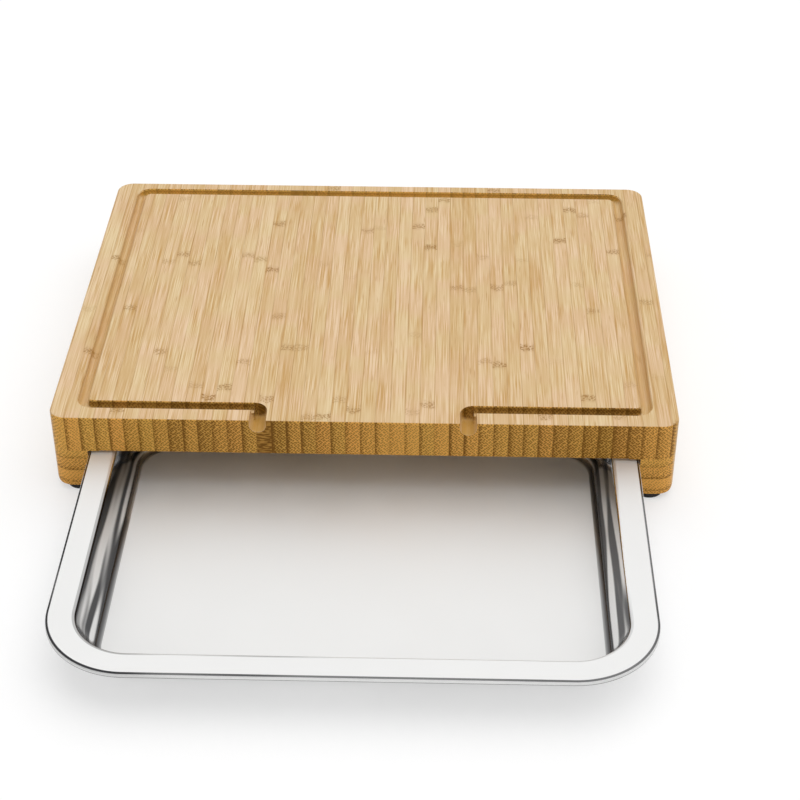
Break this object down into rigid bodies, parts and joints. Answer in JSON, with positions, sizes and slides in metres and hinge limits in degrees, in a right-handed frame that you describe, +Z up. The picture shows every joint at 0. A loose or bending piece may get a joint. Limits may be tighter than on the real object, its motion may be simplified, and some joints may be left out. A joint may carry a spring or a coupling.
{
  "type": "cutting board with drawer tray",
  "caption": "Bamboo chopping board on two side rails, with a juice groove, drain notches and a pressed steel tray that slides beneath it.",
  "frame": {"origin": "middle of the footprint at the table, with the tray drawn out 200 mm", "axes": "+Z up, -Y towards the front where the tray is drawn out, +X to the right of someone who stands at the front"},
  "size_m": [0.39, 0.495, 0.056],
  "materials": {
    "bamboo_board": "sanded and oiled bamboo",
    "bamboo_rail": "sanded and oiled bamboo",
    "tray_steel": "satin stainless steel with polished walls",
    "foot_rubber": "moulded black rubber",
    "screw_steel": "zinc plated"
  },
  "bodies": {
    "board": {"board": "bamboo_board", "left_rail": "bamboo_rail", "right_rail": "bamboo_rail", "front_left_foot": "foot_rubber", "front_right_foot": "foot_rubber", "back_left_foot": "foot_rubber", "back_right_foot": "foot_rubber", "foot_screws": "screw_steel"},
    "tray": {"tray": "tray_steel"}
  },
  "joints": [
    {"name": "tray_slide", "type": "slide", "parent": "board", "child": "tray", "axis": [0, -1, 0], "range_m": [-0.2, 0.04]}
  ]
}
